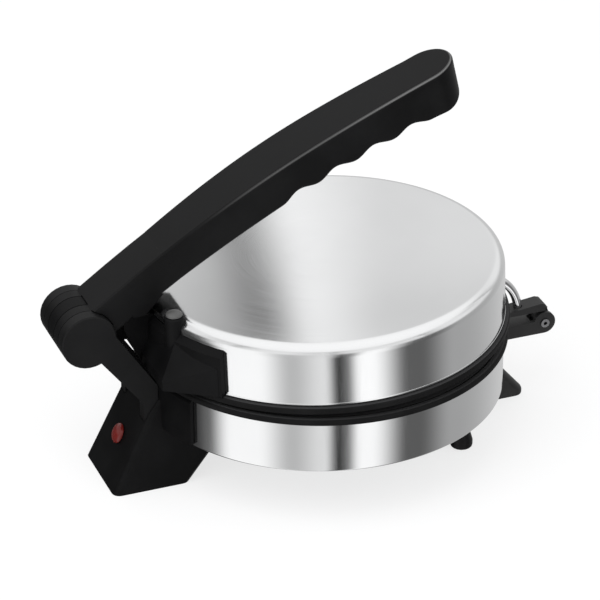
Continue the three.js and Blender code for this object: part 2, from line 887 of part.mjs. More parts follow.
function wedge() {
  const bottom = lidRingTop + wedgeBottomGap;
  const corner = wedgeCorner;
  const end = radians(wedgeEndAngle);
  const endReach = bodyRadius + flangeThickness + corner;
  const endHalf = endReach * Math.sin(end);
  const endY = endReach * Math.cos(end);
  const ridgeY = bodyRadius - wedgeRidgeInset;
  const ridge = bottom + wedgeRidgeRise;
  const place = (half, y, z) => [-1, 1].flatMap((side) => {
    return disk(side * (half - corner), y - corner, z, corner, 8);
  });
  return hull([
    ...place(wedgeHalf, wedgeRearY, bottom),
    ...place(wedgeHalf, wedgeRearY, bottom + wedgeSide),
    ...place(endHalf, endY, bottom),
    ...place(endHalf, endY, bottom + wedgeEndRise),
    ...place(wedgeRidgeHalf, ridgeY, ridge),
    ...place(wedgeRidgeHalf, endY, ridge),
  ]);
}

function lidBracket() {
  const bottom = lidRingTop + wedgeBottomGap;
  const kneeY = bodyRadius + webKneeReach;
  const rootY = bodyRadius - overrun;
  const web = slab([
    [rootY, bottom],
    [wedgeRearY, bottom],
    [kneeY, webKneeZ],
    [bodyRadius + webTopReach, webTopZ],
    [bodyRadius + webTopReach, webShoulderZ],
    [bodyRadius + webPadReach, webPadZ],
    [rootY, webPadZ],
  ], -webHalf, webHalf);
  const forkRoom = rollerAlongX(knuckleRadius + runningGap, neckHalf, webHalf + overrun, pivotY, pivotZ);
  const neck = slab([
    [kneeY, webKneeZ],
    [pivotY, pivotZ - neckRise],
    [pivotY, pivotZ + neckRise],
    [kneeY, webPadZ],
  ], -neckHalf, neckHalf);
  const knuckle = rollerAlongX(knuckleRadius, -neckHalf, neckHalf, pivotY, pivotZ);
  const flange = sector(flangeHalfAngle, rootY, bottom, flangeTop, flangeThickness + overrun, flangeSlope);
  const bore = rollerAlongX(axleRadius + seatGap, -neckHalf - overrun, neckHalf + overrun, pivotY, pivotZ,
    boltSides);
  const beadTop = lidRingTop + lidRimHeight + lidRimBead + seatGap + seatGap;
  const roundLid = turnedSolid([
    [0, 0],
    [bodyRadius + lidRimBead + seatGap, 0],
    [bodyRadius + lidRimBead + seatGap, beadTop],
    [bodyRadius + seatGap, beadTop + lidRimBead],
    ...shoulderLine(-seatGap),
    [0, lidShoulder + lidShoulderRise + lidCrown + seatGap],
  ], bodySides);
  const plain = cut(web, forkRoom, mirrored(forkRoom));
  return cut(join(wedge(), flange, plain, neck, knuckle, boss(-1), boss(1)), bore, roundLid);
}

// Puts a piece that is turned about Z on one of the bosses.
function onBoss(solid, side) {
  const reach = bodyRadius - bossInset;
  const turn = radians(bossTurnAngle);
  return solid.translate([side * reach * Math.sin(turn), reach * Math.cos(turn), 0]);
}

function boss(side) {
  const bottom = lidRingTop + wedgeBottomGap + wedgeSide / 2;
  return onBoss(turnedSolid([
    [0, bottom],
    [bossRadius, bottom],
    [bossRadius, bossTop - bossEdge],
    [bossRadius - bossEdge, bossTop],
    [0, bossTop],
  ], boltSides), side);
}

function bossCap(side) {
  const bottom = bossTop + seatGap;
  return onBoss(turnedSolid([
    [0, bottom],
    [capRadius, bottom],
    [capRadius, bottom + capHeight - capEdge],
    [capRadius - capEdge, bottom + capHeight],
    [0, bottom + capHeight],
  ], boltSides), side);
}

// Press handle

// The bar's centre line: one bend from the pivot, and a flatter one towards the tip.
function handleCentre(along) {
  const bend = (start, turn, radius, length) => {
    const next = turn - length / radius;
    return {
      y: start.y - radius * (Math.sin(turn) - Math.sin(next)),
      z: start.z + radius * (Math.cos(next) - Math.cos(turn)),
      turn: next,
    };
  };
  const root = { y: pivotY, z: pivotZ };
  const first = bend(root, radians(handleSlopeAngle), handleBend, Math.min(along, handleEndStart));
  if (along <= handleEndStart) return first;
  return bend(first, first.turn, handleEndBend, along - handleEndStart);
}

// How far the underside stands above a plain bar's: finger hollows, a deeper end and a rounded tip.
function gripHollow(along) {
  const share = (along - gripStart) / (gripPitch * gripCount);
  if (share < 0) return 0;
  const wave = share > 1 ? 0 : (1 - Math.cos(2 * Math.PI * share * gripCount)) / 2;
  const beyond = Math.max(0, along - handleLength + handleHalf) / handleHalf;
  const round = 1 - Math.sqrt(Math.max(0, 1 - beyond ** 2));
  return gripDepth * wave - gripSwell * share ** 2 + tipRise * round;
}

function handleSection(along) {
  const centre = handleCentre(along);
  const { y, z } = centre;
  const tipStart = handleLength - handleHalf;
  const beyond = Math.max(0, along - tipStart);
  const endShare = Math.max(0, along - tipStart + handleHalf) / (2 * handleHalf);
  const turn = centre.turn - radians(tipUprightAngle) * endShare;
  const half = Math.sqrt(Math.max(handleHalf ** 2 - beyond ** 2, 0));
  const top = handleDepth / 2;
  const low = -handleDepth / 2 + gripHollow(along);
  const fillet = Math.min(handleFillet, half / 3);
  const corners = [[1, 1], [-1, 1], [-1, -1], [1, -1]];
  return corners.flatMap(([sideX, sideZ]) => [0, 1, 2].map((step) => {
    const quarter = Math.PI / 4 * step;
    const lead = sideX * sideZ > 0 ? quarter : Math.PI / 2 - quarter;
    const x = sideX * (half - fillet + fillet * Math.cos(lead));
    const level = sideZ > 0 ? top : low;
    const rise = level - sideZ * fillet + sideZ * fillet * Math.sin(lead);
    return new THREE.Vector3(x, y + rise * Math.sin(turn), z + rise * Math.cos(turn));
  }));
}

// Places along the handle where its section is drawn.
function handlePlaces() {
  const gripEnd = gripStart + gripPitch * gripCount;
  const tipStart = handleLength - handleHalf;
  const plain = Array.from({ length: 8 }, (_, i) => gripStart * i / 8);
  const grip = Array.from({ length: gripCount * 6 }, (_, i) => gripStart + gripPitch * i / 6);
  const tip = Array.from({ length: 7 }, (_, i) => tipStart + handleHalf * Math.sin(Math.PI / 2 * i / 7));
  const square = [gripEnd, tipStart + handleHalf * tipShare];
  const places = [...plain, ...grip.filter((place) => place < tipStart), ...tip, ...square];
  return places.sort((a, b) => a - b);
}

function pressHandle() {
  const bar = loft(handlePlaces().map(handleSection));
  const heelBottom = webPadZ + seatGap + padThickness + seatGap;
  const heelFrontY = bodyRadius - heelFrontInset;
  const heelRearY = bodyRadius + heelRearReach;
  const kneeY = bodyRadius + webKneeReach - runningGap;
  const heel = slab([
    [heelFrontY, heelFrontZ],
    [bodyRadius + heelToeReach, heelBottom],
    [heelRearY, heelBottom],
    [heelRearY, heelFrontZ],
    [heelFrontY + handleDepth / 2, heelFrontZ + handleDepth / 2],
  ], -handleHalf, handleHalf);
  const barrel = rollerAlongX(knuckleRadius, -handleForkHalf, handleForkHalf, pivotY, pivotZ);
  const earRoom = rollerAlongX(knuckleRadius + runningGap, handleForkHalf, handleHalf + overrun, pivotY,
    pivotZ);
  const neckRoom = slab([
    [kneeY, webKneeZ],
    [pivotY, pivotZ - knuckleRadius],
    [pivotY, pivotZ + neckRise + runningGap],
    [kneeY, webPadZ + runningGap],
  ], -neckHalf - runningGap, neckHalf + runningGap);
  const forkRoom = rollerAlongX(knuckleRadius + runningGap, -neckHalf - runningGap, neckHalf + runningGap,
    pivotY, pivotZ);
  const bore = rollerAlongX(axleRadius + seatGap, -handleForkHalf - overrun, handleForkHalf + overrun, pivotY,
    pivotZ, boltSides);
  return cut(join(bar, heel, barrel), earRoom, mirrored(earRoom), neckRoom, forkRoom, bore);
}

function pressPad() {
  const bottom = webPadZ + seatGap;
  const front = bodyRadius + heelToeReach + padInset;
  const rear = bodyRadius + heelRearReach - padInset;
  return block(-padHalf, padHalf, front, rear, bottom, bottom + padThickness);
}

// Assembly

function lift(solid, height) {
  return solid.translate([0, 0, height]);
}

// Turns a piece of the lower half over, so that it hangs in the upper one.
function hung(solid, height) {
  return solid.rotate([180, 0, 0]).translate([0, 0, height]);
}

const lowerFace = baseRingTop - plateInset;
const upperFace = lidRingBottom + runningGap - plateInset;
const tailDown = lowerFace - (footHeight + steelWall) + nutHeight + studTail;
const tailUp = studOut + seatGap + nutHeight + studTail;

const base = new THREE.Group();
base.add(
  node('base_shell', 'steel', baseShell()),
  node('base_ring', 'black', lift(baseRing(), baseTop)),
  node('lower_plate', 'aluminium', lift(turnedSolid(plateProfile(), bodySides), lowerFace)),
  node('lower_element', 'zinc', lift(element(), lowerFace)),
  node('lower_pan', 'zinc', lift(turnedSolid(panProfile(), panSides), lowerFace)),
  node('lower_stud', 'zinc', lift(stud(tailDown), lowerFace)),
  node('lower_nut', 'zinc', nut(footHeight + steelWall)),
  node('thermostat', 'ivory', lift(thermostat(), lowerFace)),
  node('bottom_cover', 'zinc', bottomCover()),
  node('foot_near', 'black', foot(-1)),
  node('foot_far', 'black', foot(1)),
  node('front_leg', 'black', frontLeg()),
  node('rear_housing', 'black', rearHousing()),
  node('housing_cover', 'black', housingCover()),
  node('terminal_block', 'ivory', terminalBlock()),
  node('lamp_lens', 'lampRed', lampLens()),
  node('lamp_bulb', 'glass', lampBulb()),
  node('cord_inlet', 'black', cordInlet()),
  node('hinge_arm_far', 'black', hingeArm()),
  node('hinge_arm_near', 'black', mirrored(hingeArm())),
  node('hinge_axle', 'zinc', hingeAxle()),
  node('catch_block', 'black', catchBlock()),
  node('catch_pin', 'zinc', catchPin()),
);

const catchGroup = new THREE.Group();
catchGroup.add(
  node('catch_lever', 'black', leverBody()),
  node('catch_rod', 'chrome', catchRod()),
);

const lidPieces = new THREE.Group();
lidPieces.add(
  node('lid_shell', 'steel', lidShell()),
  node('lid_ring', 'black', hung(lidRing(), lidRingTop)),
  node('upper_plate', 'aluminium', hung(turnedSolid(plateProfile(), bodySides), upperFace)),
  node('upper_element', 'zinc', hung(element(), upperFace)),
  node('upper_pan', 'zinc', hung(turnedSolid(panProfile(), panSides), upperFace)),
  node('upper_stud', 'zinc', hung(stud(tailUp), upperFace)),
  node('upper_nut', 'zinc', nut(upperFace + studOut + seatGap + nutHeight)),
  node('lid_bracket', 'black', lidBracket()),
  node('boss_cap_near', 'grey', bossCap(-1)),
  node('boss_cap_far', 'grey', bossCap(1)),
);

const handlePieces = new THREE.Group();
handlePieces.add(
  node('press_handle', 'black', pressHandle()),
  node('press_pad', 'grey', pressPad()),
);

// The lid stands a little open: its group turns about the hinge axle, and the handle turns with it.
const lid = new THREE.Group();
lid.add(lidPieces, handlePieces);
lid.children.forEach((child) => child.position.set(0, -pivotY, -pivotZ));
lid.position.set(0, pivotY, pivotZ);
lid.rotation.x = -radians(ajarAngle);

const group = new THREE.Group();
group.add(base, catchGroup, lid);
group.position.y = -(pivotY + knuckleRadius - catchPinY - catchEarRadius) / 2;

export default group;
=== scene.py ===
# Looks for the electric roti maker: finishes, rounded edges, finely turned steel, a camera that
# matches the photograph and a plain studio.
import bmesh
import bpy
import json
import math
from mathutils import Matrix, Vector

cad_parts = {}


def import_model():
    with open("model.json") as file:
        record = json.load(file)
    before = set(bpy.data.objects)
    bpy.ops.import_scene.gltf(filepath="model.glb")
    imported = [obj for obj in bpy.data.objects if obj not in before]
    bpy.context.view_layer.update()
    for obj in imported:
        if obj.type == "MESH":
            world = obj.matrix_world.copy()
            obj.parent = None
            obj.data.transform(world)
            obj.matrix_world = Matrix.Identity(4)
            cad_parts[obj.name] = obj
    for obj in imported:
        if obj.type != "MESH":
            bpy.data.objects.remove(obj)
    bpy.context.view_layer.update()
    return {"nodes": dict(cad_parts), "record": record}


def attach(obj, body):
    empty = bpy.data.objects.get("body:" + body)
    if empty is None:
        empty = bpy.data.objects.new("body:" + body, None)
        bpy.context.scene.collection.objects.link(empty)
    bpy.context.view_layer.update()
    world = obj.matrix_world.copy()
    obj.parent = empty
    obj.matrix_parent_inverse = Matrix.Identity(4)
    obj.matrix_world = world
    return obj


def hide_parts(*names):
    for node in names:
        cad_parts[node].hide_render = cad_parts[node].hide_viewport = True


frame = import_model()

# Shapes are drawn in millimetres, with the body's axis at x = y = 0 and the soles at z = 0.
# TO_ROW carries them to the shared frame, in metres, where that axis stands at y = SHIFT_Y.
MM = 0.001
SHIFT_Y = -8.05
TO_ROW = Matrix.Scale(MM, 4) @ Matrix.Translation((0, SHIFT_Y, 0))

# The lid and what lies on it are drawn shut. ON_LID also tilts them about the axle by AJAR, to
# where they rest.
PIVOT_Y, PIVOT_Z = 155, 106.1
PIVOT = Vector((0, PIVOT_Y, PIVOT_Z))
AJAR = math.radians(1.8)
TILT = Matrix.Translation(PIVOT) @ Matrix.Rotation(-AJAR, 4, "X") @ Matrix.Translation(-PIVOT)
ON_LID = TO_ROW @ TILT

BODIES = frame["record"]["behaviour"]["bodies"]
BODY_OF = {node: body for body, nodes in BODIES.items() for node in nodes}
SLOT_OF = {part["node"]: part["material_slot"] for part in frame["record"]["subparts"]}


# Node trees, written as expressions

class Value:
    """A socket in a node tree. An operator on it adds a Math node."""

    def __init__(self, graph, link):
        self.graph = graph
        self.link = link

    def __add__(self, other):
        return self.graph.math("ADD", self, other)

    def __radd__(self, other):
        return self.graph.math("ADD", other, self)

    def __sub__(self, other):
        return self.graph.math("SUBTRACT", self, other)

    def __rsub__(self, other):
        return self.graph.math("SUBTRACT", other, self)

    def __mul__(self, other):
        return self.graph.math("MULTIPLY", self, other)

    def __truediv__(self, other):
        return self.graph.math("DIVIDE", self, other)

    def __pow__(self, power):
        return self.graph.math("POWER", self, power)

    def __neg__(self):
        return self.graph.math("MULTIPLY", self, -1)


class Graph:
    """A node tree. Its node method adds any node, with its settings first and then its sockets."""

    def __init__(self, tree):
        self.tree = tree

    def node(self, kind, settings=None, sockets=(), output=0):
        made = self.tree.nodes.new(kind)
        for key, value in (settings or {}).items():
            if key == "stops":
                self.set_stops(made.color_ramp, value)
            else:
                setattr(made, key, value)
        pairs = sockets.items() if isinstance(sockets, dict) else enumerate(sockets)
        for key, value in pairs:
            self.feed(made, key, value)
        return Value(self, made.outputs[output]) if len(made.outputs) else made

    def feed(self, node, key, value):
        for part in value if isinstance(value, list) else [value]:
            if isinstance(part, Value):
                self.tree.links.new(part.link, node.inputs[key])
            else:
                node.inputs[key].default_value = part

    @staticmethod
    def set_stops(band, stops):
        """Sets a colour ramp to pairs of (place, grey). It starts with two stops and holds 32."""
        while len(band.elements) < len(stops):
            band.elements.new(0.5)
        for element, (place, grey) in zip(band.elements, stops):
            element.position = place
            element.color = (grey, grey, grey, 1)

    def math(self, operation, *values):
        return self.node("ShaderNodeMath", {"operation": operation}, values)

    def clamp(self, value):
        return self.node("ShaderNodeClamp", None, {0: value})

    def span(self, value, low, high, to_low=0.0, to_high=1.0):
        """Eases from to_low to to_high as the value goes from low to high."""
        return self.node("ShaderNodeMapRange", {"interpolation_type": "SMOOTHSTEP"},
                         {0: value, 1: low, 2: high, 3: to_low, 4: to_high})

    def mix(self, share, first, second):
        first, second = [(*c, 1) if isinstance(c, tuple) else c for c in (first, second)]
        return self.node("ShaderNodeMix", {"data_type": "RGBA"}, {0: share, 6: first, 7: second}, 2)

    def ramp(self, value, stops, interpolation="LINEAR"):
        made = self.node("ShaderNodeValToRGB", {"stops": stops}, {0: value})
        made.link.node.color_ramp.interpolation = interpolation
        return made

    def parts(self, vector):
        split = self.node("ShaderNodeSeparateXYZ", None, {0: vector}).link.node
        return [Value(self, socket) for socket in split.outputs]

    def place(self):
        return self.node("ShaderNodeTexCoord", None, (), "Object")

    def facing(self):
        return self.node("ShaderNodeTexCoord", None, (), "Normal")

    def noise(self, scale, detail=3, roughness=0.5, stretch=(1, 1, 1)):
        mapped = self.node("ShaderNodeMapping", None, {"Vector": self.place(), "Scale": stretch})
        return self.node("ShaderNodeTexNoise", None,
                         {"Vector": mapped, "Scale": scale, "Detail": detail, "Roughness": roughness})


class Finish:
    """A material with one main shader."""

    def __init__(self, name, **constants):
        self.material = bpy.data.materials.new(name)
        self.material.use_nodes = True
        self.graph = Graph(self.material.node_tree)
        self.shader = next(n for n in self.material.node_tree.nodes if n.type == "BSDF_PRINCIPLED")
        for key, value in constants.items():
            self.shader.inputs[key.replace("_", " ")].default_value = value

    def colour(self, value):
        self.graph.feed(self.shader, "Base Color", value)

    def roughness(self, value):
        self.graph.feed(self.shader, "Roughness", value)

    def relief(self, height, strength, distance):
        bumped = self.graph.node("ShaderNodeBump", None,
                                 {"Strength": strength, "Distance": distance, "Height": height})
        self.graph.feed(self.shader, "Normal", bumped)


# Finishes. Lengths in them are in metres, and rough is a pair of the smoothest and the roughest.

EVEN = (1, 1, 1)
UPRIGHT = (1, 1, 0.08)
POLISH_SCALE = 700
POLISH_ROUGH = (0.07, 0.12)
MOULD_SCALE = 2600
MOULD_DEPTH = 0.00003


def metal(name, colour, rough, grain_scale, grain_stretch, grain_depth):
    """Bare metal, clouded by a twentieth, whose grain shows in its gloss and its relief."""
    finish = Finish(name, Metallic=1)
    graph = finish.graph
    clouded = tuple(c * 0.95 for c in colour)
    cloud = graph.noise(scale=9, detail=4)
    finish.colour(graph.mix(graph.span(cloud, 0.35, 0.65), clouded, colour))
    grain = graph.noise(grain_scale, 3, 0.6, grain_stretch)
    finish.roughness(graph.span(grain, 0.3, 0.7, *rough))
    finish.relief(grain, 0.3, grain_depth)
    return finish.material


def lid_steel():
    """Polished walls, and a top with the fine turning marks of its buffing."""
    finish = Finish("lid_steel", Metallic=1)
    graph = finish.graph
    x, y, z = graph.parts(graph.place())
    tilt_carries_top = -0.4
    centre_y = (SHIFT_Y + tilt_carries_top) * MM
    radius = (x * x + (y - centre_y) * (y - centre_y)) ** 0.5
    height = z + (y - (PIVOT_Y + SHIFT_Y) * MM) * math.sin(AJAR)
    top = (1 - graph.span(radius, 0.1, 0.1095)) * graph.span(height, 0.112, 0.118)
    shoulder = graph.span(height, 0.111, 0.114) * (1 - top)
    cloud = graph.noise(scale=14, detail=4)
    clouded, clear = (0.835, 0.84, 0.845), (0.86, 0.865, 0.87)
    finish.colour(graph.mix(graph.span(cloud, 0.35, 0.65), clouded, clear))
    marks_per_metre = 2600
    around = graph.math("ARCTAN2", y, x)
    spot = graph.node("ShaderNodeCombineXYZ", None, (radius * marks_per_metre, around, 0))
    circles = graph.node("ShaderNodeTexNoise", {"noise_dimensions": "2D"},
                         {"Vector": spot, "Scale": 1, "Detail": 2})
    grain = graph.noise(POLISH_SCALE, 3, 0.6, UPRIGHT)
    walls = graph.span(grain, 0.3, 0.7, *POLISH_ROUGH) + shoulder * 0.08
    finish.roughness(graph.mix(top, walls, graph.span(circles, 0.3, 0.7, 0.105, 0.13)))
    finish.relief(circles * top * 0.2 + grain * (1 - top), 0.2, 0.000002)
    return finish.material


def moulded_skin(finish, scale=MOULD_SCALE, depth=MOULD_DEPTH):
    """The fine pitted relief of a moulding."""
    finish.relief(finish.graph.noise(scale, 2), 0.35, depth)


def plastic(name, dark, light, rough, grain_scale=MOULD_SCALE, grain_depth=MOULD_DEPTH,
            specular=0.4, coat=0.0):
    finish = Finish(name, Specular_IOR_Level=specular, Coat_Weight=coat)
    graph = finish.graph
    cloud = graph.noise(22, 5, 0.6)
    finish.colour(graph.mix(graph.span(cloud, 0.35, 0.7), dark, light))
    finish.roughness(graph.span(cloud, 0.3, 0.75, *rough))
    moulded_skin(finish, grain_scale, grain_depth)
    return finish.material


def handle_black():
    """Satin black, with a painted highlight along its upper edges, brightest toward the tip; those edges
    are also smoother.
    """
    finish = Finish("handle_black", Specular_IOR_Level=0.12)
    graph = finish.graph
    bar_lean = math.radians(27)
    edge_faces, edge_width = 0.66, 0.3
    _, ny, nz = graph.parts(graph.facing())
    _, y, _ = graph.parts(graph.place())
    upward = ny * math.sin(bar_lean) + nz * math.cos(bar_lean)
    off_edge = graph.math("ABSOLUTE", upward - edge_faces) / edge_width
    edge = graph.clamp(1 - off_edge) * (1 - graph.span(y, 0.015, 0.08))
    cloud = graph.noise(22, 5, 0.6)
    dark, light = (0.0032, 0.0032, 0.0034), (0.0065, 0.0065, 0.0068)
    face = graph.mix(graph.span(cloud, 0.35, 0.7), dark, light)
    # Painted highlight: the upper edges are coloured lighter, more so toward the tip, in place of the
    # light they catch.
    highlight_tip, highlight_root = (0.15, 0.15, 0.15), (0.075, 0.075, 0.075)
    painted_highlight = graph.mix(graph.span(y, -0.07, 0.01), highlight_tip, highlight_root)
    finish.colour(graph.mix(edge, face, painted_highlight))
    finish.roughness(graph.span(cloud, 0.3, 0.75, 0.4, 0.52) - edge * 0.12)
    moulded_skin(finish)
    return finish.material


def ring_black():
    """Heat-proof black, with painted light that greys its upward face, the shaded one that lies between
    the halves.
    """
    finish = Finish("ring_black", Specular_IOR_Level=0.1)
    graph = finish.graph
    _, _, nz = graph.parts(graph.facing())
    between = graph.span(nz, 0.8, 0.98)
    cloud = graph.noise(30, 5, 0.6)
    rim = graph.mix(graph.span(cloud, 0.35, 0.7), (0.004, 0.004, 0.0042), (0.008, 0.008, 0.0082))
    # Painted light: the shaded upward face between the halves is coloured a lighter grey than the rim.
    painted_light_grey = (0.035, 0.035, 0.036)
    finish.colour(graph.mix(between, rim, painted_light_grey))
    finish.roughness(graph.span(cloud, 0.3, 0.75, 0.55, 0.68))
    moulded_skin(finish)
    return finish.material


STEEL = metal("polished_steel", (0.86, 0.865, 0.87), POLISH_ROUGH, POLISH_SCALE, UPRIGHT, 0.000004)
LID_STEEL = lid_steel()
CHROME = metal("chrome", (0.9, 0.9, 0.91), (0.04, 0.07), 900, EVEN, 0.000002)
ZINC = metal("plated_steel", (0.62, 0.63, 0.64), (0.28, 0.42), 260, EVEN, 0.00002)
PIN = metal("rivet_steel", (0.34, 0.34, 0.35), (0.25, 0.35), 900, EVEN, 0.00001)
PLATE = metal("plate_coating", (0.2, 0.2, 0.205), (0.38, 0.5), 1500, EVEN, 0.00003)
BLACK = plastic("satin_black", (0.0035, 0.0035, 0.0038), (0.007, 0.007, 0.0073), (0.4, 0.52),
                specular=0.16)
HOUSING = plastic("housing_black", (0.003, 0.003, 0.0032), (0.006, 0.006, 0.0063), (0.45, 0.56),
                  specular=0.08)
MOULDED = plastic("catch_black", (0.008, 0.008, 0.0082), (0.016, 0.016, 0.0162), (0.42, 0.54),
                  specular=0.42)
HANDLE = handle_black()
RING = ring_black()
GREY = plastic("grey_plastic", (0.055, 0.055, 0.054), (0.085, 0.085, 0.084), (0.35, 0.45))
IVORY = plastic("ivory_moulding", (0.55, 0.52, 0.44), (0.62, 0.59, 0.5), (0.5, 0.65))
LENS = plastic("lamp_lens", (0.12, 0.01, 0.008), (0.2, 0.018, 0.014), (0.22, 0.32),
               grain_scale=900, grain_depth=0.00001, specular=0.25, coat=0.25)
GLASS = plastic("lamp_glass", (0.6, 0.5, 0.42), (0.7, 0.6, 0.5), (0.06, 0.12),
                grain_scale=400, grain_depth=0.000005)
BY_SLOT = {
    "steel": STEEL, "chrome": CHROME, "black": BLACK, "aluminium": PLATE, "zinc": ZINC,
    "lamp_red": LENS, "glass": GLASS, "ivory": IVORY, "grey": GREY,
}


# Pieces

def finish_piece(mesh, name, node, material, smooth=35):
    """Shows a mesh in place of a CAD node, with the normals of its large faces kept flat."""
    piece = bpy.data.objects.new(name, mesh)
    bpy.context.scene.collection.objects.link(piece)
    mesh.materials.clear()
    mesh.materials.append(material)
    mesh.shade_smooth()
    mesh.set_sharp_from_angle(angle=math.radians(smooth))
    normals = piece.modifiers.new("normals", "WEIGHTED_NORMAL")
    normals.weight = 100
    normals.keep_sharp = True
    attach(piece, BODY_OF[node])
    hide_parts(node)
    return piece


def evaluated_mesh(piece, name):
    """The mesh that a helper object's modifiers make. The helper itself goes."""
    depsgraph = bpy.context.evaluated_depsgraph_get()
    made = bpy.data.meshes.new_from_object(piece.evaluated_get(depsgraph))
    made.name = name
    bpy.data.objects.remove(piece)
    return made


def cleaned(form, weld, sliver):
    """Joins vertices closer than weld and removes triangles thinner than sliver."""
    bmesh.ops.remove_doubles(form, verts=form.verts, dist=weld)
    bmesh.ops.dissolve_degenerate(form, dist=sliver, edges=form.edges)


def cut_away(form, place, direction):
    """Removes what lies beyond a plane and closes the opening."""
    everything = form.verts[:] + form.edges[:] + form.faces[:]
    cut = bmesh.ops.bisect_plane(form, geom=everything, plane_co=place, plane_no=direction,
                                 clear_outer=True)
    rim = [part for part in cut["geom_cut"] if isinstance(part, bmesh.types.BMEdge)]
    bmesh.ops.holes_fill(form, edges=rim)


def rounded(node, name, width, material=None, angle=28, clip=None):
    """The CAD node again with its edges rounded off, and with its end cut away at a clip plane.

    Only edges sharper than the angle, in degrees, are rounded. The width is in millimetres.
    """
    source = frame["nodes"][node]
    mesh = bpy.data.meshes.new(name)
    form = bmesh.new()
    form.from_mesh(source.data)
    form.transform(source.matrix_world)
    bmesh.ops.remove_doubles(form, verts=form.verts, dist=0.02 * MM)
    bmesh.ops.dissolve_limit(form, angle_limit=math.radians(1), verts=form.verts, edges=form.edges)
    if clip:
        cut_away(form, *clip)
    form.to_mesh(mesh)
    form.free()
    piece = bpy.data.objects.new(name + "_form", mesh)
    bpy.context.scene.collection.objects.link(piece)
    edges = piece.modifiers.new("edges", "BEVEL")
    edges.width = width * MM
    edges.segments = 2
    edges.limit_method = "ANGLE"
    edges.angle_limit = math.radians(angle)
    edges.use_clamp_overlap = True
    made = evaluated_mesh(piece, name)
    form = bmesh.new()
    form.from_mesh(made)
    cleaned(form, weld=0.003 * MM, sliver=0.002 * MM)
    form.to_mesh(made)
    form.free()
    return finish_piece(made, name, node, material or BY_SLOT[SLOT_OF[node]])


def tree_of(name, sizes):
    """An empty geometry tree with a named input for each size, and its inputs as values."""
    group = bpy.data.node_groups.new(name, "GeometryNodeTree")
    group.interface.new_socket("Geometry", in_out="OUTPUT", socket_type="NodeSocketGeometry")
    for size in sizes:
        group.interface.new_socket(size, in_out="INPUT", socket_type="NodeSocketFloat")
    graph = Graph(group)
    source = group.nodes.new("NodeGroupInput")
    return graph, {size: Value(graph, source.outputs[size]) for size in sizes}


def close_tree(graph, shape, material):
    """Ends a tree with plain geometry in its material."""
    plain = graph.node("GeometryNodeRealizeInstances", None, {0: shape})
    coated = graph.node("GeometryNodeSetMaterial", None, {"Geometry": plain, "Material": material})
    graph.node("NodeGroupOutput", None, {0: coated})
    return graph.tree


def grown(group, sizes, name, place):
    """The plain mesh that a tree makes in millimetres, cleaned, closed and moved to its place."""
    piece = bpy.data.objects.new(name + "_form", bpy.data.meshes.new(name + "_seed"))
    bpy.context.scene.collection.objects.link(piece)
    maker = piece.modifiers.new("maker", "NODES")
    maker.node_group = group
    for item in group.interface.items_tree:
        if item.item_type == "SOCKET" and item.in_out == "INPUT":
            maker[item.identifier] = float(sizes[item.name])
    mesh = evaluated_mesh(piece, name)
    form = bmesh.new()
    form.from_mesh(mesh)
    cleaned(form, weld=0.001, sliver=0.001)
    bmesh.ops.holes_fill(form, edges=[edge for edge in form.edges if edge.is_boundary])
    bmesh.ops.recalc_face_normals(form, faces=form.faces)
    form.transform(place)
    form.to_mesh(mesh)
    form.free()
    return mesh


def turned(profile, name, node, material, place=TO_ROW, segments=192):
    """A closed ring from a profile of (radius, height) in millimetres."""
    form = bmesh.new()
    rings = []
    for step in range(segments):
        turn = 2 * math.pi * step / segments
        ring = []
        for radius, height in profile:
            spot = place @ Vector((radius * math.cos(turn), radius * math.sin(turn), height))
            ring.append(form.verts.new(spot))
        rings.append(ring)
    count = len(profile)
    for step in range(segments):
        here, there = rings[step], rings[(step + 1) % segments]
        for i in range(count):
            j = (i + 1) % count
            form.faces.new((here[i], there[i], there[j], here[j]))
    cleaned(form, weld=0.001 * MM, sliver=0.0005 * MM)
    bmesh.ops.recalc_face_normals(form, faces=form.faces)
    mesh = bpy.data.meshes.new(name)
    form.to_mesh(mesh)
    form.free()
    return finish_piece(mesh, name, node, material)


def arc(centre, radius, start, end, steps):
    """Points of an arc in a profile, with angles in degrees from the outward direction."""
    across, up = radius if isinstance(radius, tuple) else (radius, radius)
    points = []
    for i in range(steps + 1):
        turn = math.radians(start + (end - start) * i / steps)
        points.append((centre[0] + across * math.cos(turn), centre[1] + up * math.sin(turn)))
    return points


# Turned shells and rings

BODY_R, WALL = 112.5, 0.8
FOOT_H, BASE_TOP = 38.5, 71.0
SEAT_GAP = 0.3
RING_R, RING_BORE, RING_TOP, RING_GAP = 115.2, 103.9, 4.2, 0.4
LID_RING_BOTTOM = BASE_TOP + RING_TOP + RING_GAP
LID_RING_TOP = LID_RING_BOTTOM + RING_TOP
SHOULDER = LID_RING_TOP + 32
SHOULDER_ACROSS, SHOULDER_RISE = 8, 7
CROWN = 4
SHELL_SEGMENTS = 256


def base_shell():
    """An upright wall that is folded in under the body."""
    inner, lip = BODY_R - WALL, BODY_R - 7.5
    fold, edge = 1.2, 0.2
    profile = [(lip, FOOT_H), (BODY_R - fold, FOOT_H)]
    profile += arc((BODY_R - fold, FOOT_H + fold), fold, -80, 0, 5)
    profile += [(BODY_R, BASE_TOP - edge), (BODY_R - edge, BASE_TOP), (inner, BASE_TOP)]
    profile += [(inner, FOOT_H + WALL + fold), (inner - fold, FOOT_H + WALL), (lip, FOOT_H + WALL)]
    turned(profile, "steel_base_shell", "base_shell", STEEL, segments=SHELL_SEGMENTS)


